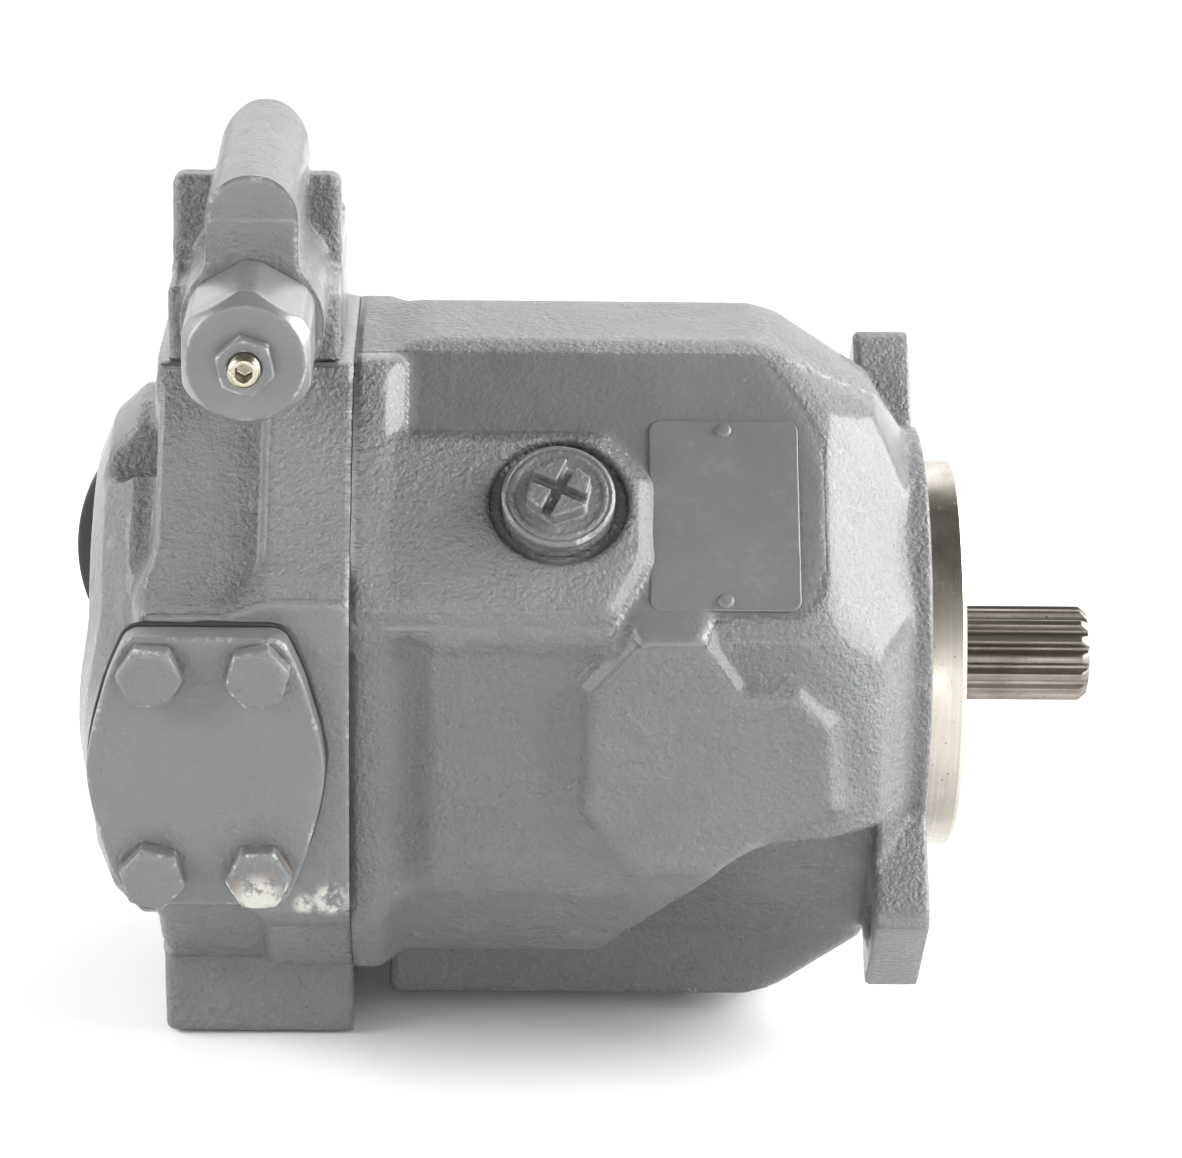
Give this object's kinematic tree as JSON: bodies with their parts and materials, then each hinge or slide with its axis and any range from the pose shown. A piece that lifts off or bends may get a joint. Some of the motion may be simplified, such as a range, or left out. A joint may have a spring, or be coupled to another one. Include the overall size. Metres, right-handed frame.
{
  "type": "axial piston pump",
  "caption": "Variable axial piston pump: painted cast housing and port plate, diagonal two-bolt flange with pilot, splined shaft, top controller and covered side port.",
  "frame": {"origin": "centre of the mounting flange's face on the shaft axis", "axes": "+X out along the shaft, +Z towards the controller on top, -Y towards the side with the covered pressure port"},
  "size_m": [0.2739, 0.1955, 0.2333],
  "materials": {
    "paint": "glossy grey paint over cast iron",
    "plate_paint": "satin grey paint",
    "steel": "machined steel",
    "bronze": "bearing bronze",
    "rubber": "black rubber",
    "plastic": "black plastic"
  },
  "bodies": {
    "housing_body": {"housing": "paint", "port_plate": "paint", "housing_seal": "rubber", "housing_bolts": "steel", "nameplate": "plate_paint", "nameplate_pins": "steel", "drain_plugs": "paint", "drain_plug_seals": "bronze", "pressure_cover": "paint", "pressure_gasket": "rubber", "pressure_cover_bolts": "paint", "suction_cap": "plastic", "controller_body": "paint", "controller_seals": "rubber", "controller_bolts": "steel", "spring_cap": "paint", "lock_nut": "paint", "controller_end_plug": "paint", "front_bearing_cup": "steel", "rear_bearing_cup": "steel", "shaft_seal": "rubber", "seal_snap_ring": "steel", "cradle_bearings": "bronze", "valve_plate": "bronze"},
    "rotor": {"drive_shaft": "steel", "front_bearing_cone": "steel", "rear_bearing_cone": "steel", "cylinder_barrel": "steel", "barrel_spring": "steel", "spring_washers": "steel", "retaining_ball": "steel"},
    "front_rollers": {"front_bearing_rollers": "steel"},
    "rear_rollers": {"rear_bearing_rollers": "steel"},
    "swash": {"swash_plate": "steel"},
    "retainer": {"retainer_plate": "steel"},
    "control_rod": {"control_piston": "steel"},
    "bias_rod": {"bias_piston": "steel", "bias_spring": "steel"},
    "spool": {"control_spool": "steel", "spring_seat": "steel", "control_spring": "steel"},
    "adjuster": {"set_screw": "steel"},
    "piston_body_1": {"piston_1": "steel"},
    "slipper_body_1": {"slipper_1": "bronze"},
    "piston_body_2": {"piston_2": "steel"},
    "slipper_body_2": {"slipper_2": "bronze"},
    "piston_body_3": {"piston_3": "steel"},
    "slipper_body_3": {"slipper_3": "bronze"},
    "piston_body_4": {"piston_4": "steel"},
    "slipper_body_4": {"slipper_4": "bronze"},
    "piston_body_5": {"piston_5": "steel"},
    "slipper_body_5": {"slipper_5": "bronze"},
    "piston_body_6": {"piston_6": "steel"},
    "slipper_body_6": {"slipper_6": "bronze"},
    "piston_body_7": {"piston_7": "steel"},
    "slipper_body_7": {"slipper_7": "bronze"},
    "piston_body_8": {"piston_8": "steel"},
    "slipper_body_8": {"slipper_8": "bronze"},
    "piston_body_9": {"piston_9": "steel"},
    "slipper_body_9": {"slipper_9": "bronze"}
  },
  "joints": [
    {"name": "shaft_turn", "type": "hinge", "parent": "housing_body", "child": "rotor", "pos_m": [0, 0, 0], "axis": [1, 0, 0], "range_deg": [-360, 360]},
    {"name": "front_roller_orbit", "type": "hinge", "parent": "housing_body", "child": "front_rollers", "pos_m": [0, 0, 0], "axis": [1, 0, 0], "range_deg": [-160, 160]},
    {"name": "rear_roller_orbit", "type": "hinge", "parent": "housing_body", "child": "rear_rollers", "pos_m": [0, 0, 0], "axis": [1, 0, 0], "range_deg": [-160, 160]},
    {"name": "swash_tilt", "type": "hinge", "parent": "housing_body", "child": "swash", "pos_m": [-0.057, 0, 0], "axis": [0, -1, 0], "range_deg": [0, 18]},
    {"name": "retainer_tilt", "type": "hinge", "parent": "rotor", "child": "retainer", "pos_m": [-0.057, 0, 0], "axis": [0, -1, 0], "range_deg": [0, 18.5]},
    {"name": "control_stroke", "type": "slide", "parent": "housing_body", "child": "control_rod", "axis": [-1, 0, 0], "range_m": [0, 0.0206]},
    {"name": "bias_stroke", "type": "slide", "parent": "housing_body", "child": "bias_rod", "axis": [1, 0, 0], "range_m": [0, 0.0199], "deforming": ["bias_spring"]},
    {"name": "spool_stroke", "type": "slide", "parent": "housing_body", "child": "spool", "axis": [0, -1, 0], "range_m": [0, 0.003], "deforming": ["control_spring"]},
    {"name": "adjuster_feed", "type": "slide", "parent": "housing_body", "child": "adjuster", "axis": [0, -1, 0], "range_m": [0, 0.004]},
    {"name": "piston_stroke_1", "type": "slide", "parent": "rotor", "child": "piston_body_1", "axis": [-1, 0, 0], "range_m": [0, 0.0112]},
    {"name": "slipper_tilt_1", "type": "hinge", "parent": "piston_body_1", "child": "slipper_body_1", "pos_m": [-0.057, 0, 0.0335], "axis": [0, -1, 0], "range_deg": [0, 18.5]},
    {"name": "piston_stroke_2", "type": "slide", "parent": "rotor", "child": "piston_body_2", "axis": [-1, 0, 0], "range_m": [0, 0.00861]},
    {"name": "slipper_tilt_2", "type": "hinge", "parent": "piston_body_2", "child": "slipper_body_2", "pos_m": [-0.057, -0.02153, 0.02566], "axis": [0, -1, 0], "range_deg": [0, 18.5]},
    {"name": "piston_stroke_3", "type": "slide", "parent": "rotor", "child": "piston_body_3", "axis": [-1, 0, 0], "range_m": [0, 0.00203]},
    {"name": "slipper_tilt_3", "type": "hinge", "parent": "piston_body_3", "child": "slipper_body_3", "pos_m": [-0.057, -0.03299, 0.00582], "axis": [0, -1, 0], "range_deg": [0, 18.5]},
    {"name": "piston_stroke_4", "type": "slide", "parent": "rotor", "child": "piston_body_4", "axis": [1, 0, 0], "range_m": [0, 0.00547]},
    {"name": "slipper_tilt_4", "type": "hinge", "parent": "piston_body_4", "child": "slipper_body_4", "pos_m": [-0.057, -0.02901, -0.01675], "axis": [0, -1, 0], "range_deg": [0, 18.5]},
    {"name": "piston_stroke_5", "type": "slide", "parent": "rotor", "child": "piston_body_5", "axis": [1, 0, 0], "range_m": [0, 0.01019]},
    {"name": "slipper_tilt_5", "type": "hinge", "parent": "piston_body_5", "child": "slipper_body_5", "pos_m": [-0.057, -0.01146, -0.03148], "axis": [0, -1, 0], "range_deg": [0, 18.5]},
    {"name": "piston_stroke_6", "type": "slide", "parent": "rotor", "child": "piston_body_6", "axis": [1, 0, 0], "range_m": [0, 0.01019]},
    {"name": "slipper_tilt_6", "type": "hinge", "parent": "piston_body_6", "child": "slipper_body_6", "pos_m": [-0.057, 0.01146, -0.03148], "axis": [0, -1, 0], "range_deg": [0, 18.5]},
    {"name": "piston_stroke_7", "type": "slide", "parent": "rotor", "child": "piston_body_7", "axis": [1, 0, 0], "range_m": [0, 0.00547]},
    {"name": "slipper_tilt_7", "type": "hinge", "parent": "piston_body_7", "child": "slipper_body_7", "pos_m": [-0.057, 0.02901, -0.01675], "axis": [0, -1, 0], "range_deg": [0, 18.5]},
    {"name": "piston_stroke_8", "type": "slide", "parent": "rotor", "child": "piston_body_8", "axis": [-1, 0, 0], "range_m": [0, 0.00203]},
    {"name": "slipper_tilt_8", "type": "hinge", "parent": "piston_body_8", "child": "slipper_body_8", "pos_m": [-0.057, 0.03299, 0.00582], "axis": [0, -1, 0], "range_deg": [0, 18.5]},
    {"name": "piston_stroke_9", "type": "slide", "parent": "rotor", "child": "piston_body_9", "axis": [-1, 0, 0], "range_m": [0, 0.00861]},
    {"name": "slipper_tilt_9", "type": "hinge", "parent": "piston_body_9", "child": "slipper_body_9", "pos_m": [-0.057, 0.02153, 0.02566], "axis": [0, -1, 0], "range_deg": [0, 18.5]}
  ],
  "couplings": [
    {"joint": "front_roller_orbit", "follows": "shaft_turn", "ratio": 0.43},
    {"joint": "rear_roller_orbit", "follows": "shaft_turn", "ratio": 0.4},
    {"joint": "retainer_tilt", "follows": "swash_tilt", "ratio": 1},
    {"joint": "control_stroke", "follows": "swash_tilt", "m_per_rad": 0.064124},
    {"joint": "bias_stroke", "follows": "swash_tilt", "m_per_rad": 0.062},
    {"joint": "piston_stroke_1", "follows": "swash_tilt", "m_per_rad": 0.034647},
    {"joint": "slipper_tilt_1", "follows": "swash_tilt", "ratio": 1},
    {"joint": "piston_stroke_2", "follows": "swash_tilt", "m_per_rad": 0.026541},
    {"joint": "slipper_tilt_2", "follows": "swash_tilt", "ratio": 1},
    {"joint": "piston_stroke_3", "follows": "swash_tilt", "m_per_rad": 0.006016},
    {"joint": "slipper_tilt_3", "follows": "swash_tilt", "ratio": 1},
    {"joint": "piston_stroke_4", "follows": "swash_tilt", "m_per_rad": 0.01675},
    {"joint": "slipper_tilt_4", "follows": "swash_tilt", "ratio": 1},
    {"joint": "piston_stroke_5", "follows": "swash_tilt", "m_per_rad": 0.03148},
    {"joint": "slipper_tilt_5", "follows": "swash_tilt", "ratio": 1},
    {"joint": "piston_stroke_6", "follows": "swash_tilt", "m_per_rad": 0.03148},
    {"joint": "slipper_tilt_6", "follows": "swash_tilt", "ratio": 1},
    {"joint": "piston_stroke_7", "follows": "swash_tilt", "m_per_rad": 0.01675},
    {"joint": "slipper_tilt_7", "follows": "swash_tilt", "ratio": 1},
    {"joint": "piston_stroke_8", "follows": "swash_tilt", "m_per_rad": 0.006016},
    {"joint": "slipper_tilt_8", "follows": "swash_tilt", "ratio": 1},
    {"joint": "piston_stroke_9", "follows": "swash_tilt", "m_per_rad": 0.026541},
    {"joint": "slipper_tilt_9", "follows": "swash_tilt", "ratio": 1}
  ]
}
